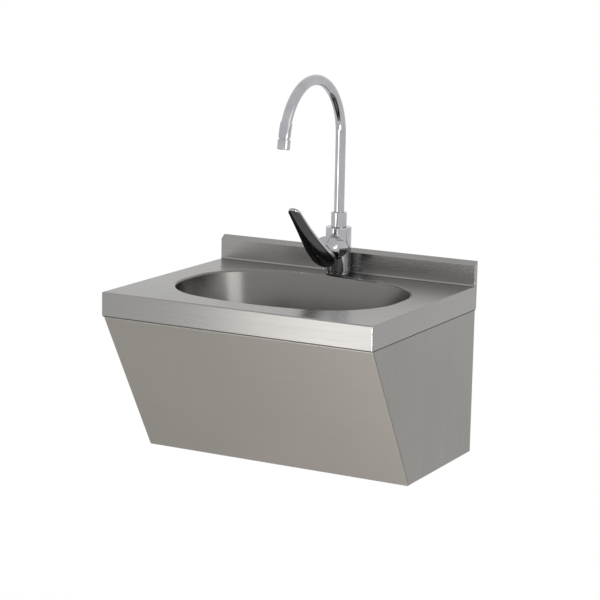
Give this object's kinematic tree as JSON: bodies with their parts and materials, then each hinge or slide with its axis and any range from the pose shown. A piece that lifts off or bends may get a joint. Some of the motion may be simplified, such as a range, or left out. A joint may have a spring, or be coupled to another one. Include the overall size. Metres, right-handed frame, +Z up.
{
  "type": "hand wash sink",
  "caption": "Wall-hung hand wash sink of folded steel with a sloping casing, an oval bowl, a low splashback and a swan-neck mixer tap with a paddle lever.",
  "frame": {"origin": "midway between the two slots of the wall bracket, on the face of the wall", "axes": "+Z up, +Y into the wall, -Y towards the user, +X to the user's right; millimetre source, metres here"},
  "size_m": [0.5, 0.4, 0.6475],
  "materials": {
    "sheet_steel": "brushed",
    "fixing_steel": "plain",
    "fastener_steel": "bright",
    "chrome_plate": "polished",
    "brass_parts": "plain",
    "rubber_seals": "matte",
    "white_plastic": "satin",
    "grey_plastic": "satin",
    "ceramic": "ground",
    "dark_plug": "gloss"
  },
  "bodies": {
    "basin": {"deck_top": "sheet_steel", "splash_end_cap_left": "sheet_steel", "splash_end_cap_right": "sheet_steel", "bowl": "sheet_steel", "front_panel": "sheet_steel", "side_panel_left": "sheet_steel", "side_panel_right": "sheet_steel", "rear_rail": "fixing_steel", "wall_bracket": "fixing_steel", "deck_studs": "fastener_steel", "deck_nuts": "fastener_steel", "panel_studs": "fastener_steel", "panel_nuts": "fastener_steel", "waste_flange": "chrome_plate", "waste_grid": "chrome_plate", "grid_screw": "chrome_plate", "waste_seal_upper": "rubber_seals", "waste_seal_lower": "rubber_seals", "waste_slip_washer": "white_plastic", "waste_locknut": "brass_parts", "trap_inlet_nut": "white_plastic", "trap_inlet_seal": "rubber_seals", "trap_dip_tube": "white_plastic", "trap_body": "white_plastic", "trap_cup": "white_plastic", "trap_cup_seal": "rubber_seals", "trap_outlet_nut": "white_plastic", "trap_outlet_seal": "rubber_seals", "waste_pipe": "white_plastic", "tap_body": "chrome_plate", "tap_base_seal": "rubber_seals", "tap_stud": "brass_parts", "tap_clamp_rubber": "rubber_seals", "tap_clamp_plate": "fixing_steel", "tap_clamp_nut": "brass_parts", "cartridge_seals": "rubber_seals", "cartridge_base": "grey_plastic", "cartridge_housing": "grey_plastic", "ceramic_disc_fixed": "ceramic", "cartridge_nut": "brass_parts", "dome_cap": "chrome_plate", "spout_collar": "chrome_plate", "spout_glide_ring": "grey_plastic", "spout_o_rings": "rubber_seals"},
    "carrier": {"stem_carrier": "grey_plastic", "stem_pin": "fastener_steel"},
    "disc": {"ceramic_disc_moving": "ceramic"},
    "lever": {"lever_stem": "brass_parts", "lever_handle": "chrome_plate", "lever_screw": "fastener_steel", "lever_plug": "dark_plug"},
    "spout": {"spout_tube": "chrome_plate", "spout_ferrule": "chrome_plate", "spout_stop_ring": "brass_parts", "aerator_housing": "chrome_plate", "aerator_seal": "rubber_seals", "aerator_insert": "grey_plastic"}
  },
  "joints": [
    {"name": "spout_swivel", "type": "hinge", "parent": "basin", "child": "spout", "pos_m": [0, -0.034, 0.17], "axis": [0, 0, 1], "range_deg": [-90, 90]},
    {"name": "lever_turn", "type": "hinge", "parent": "basin", "child": "carrier", "pos_m": [0, -0.06492, 0.14016], "axis": [0, -0.9976, 0.0698], "range_deg": [-45, 45]},
    {"name": "lever_lift", "type": "hinge", "parent": "carrier", "child": "lever", "pos_m": [0, -0.06492, 0.14016], "axis": [-1, 0, 0], "range_deg": [0, 25]},
    {"name": "disc_slide", "type": "slide", "parent": "carrier", "child": "disc", "axis": [0, 0.0698, 0.9976], "range_m": [-0.0022, 0]}
  ],
  "couplings": [
    {"joint": "disc_slide", "follows": "lever_lift", "m_per_rad": -0.004955}
  ]
}
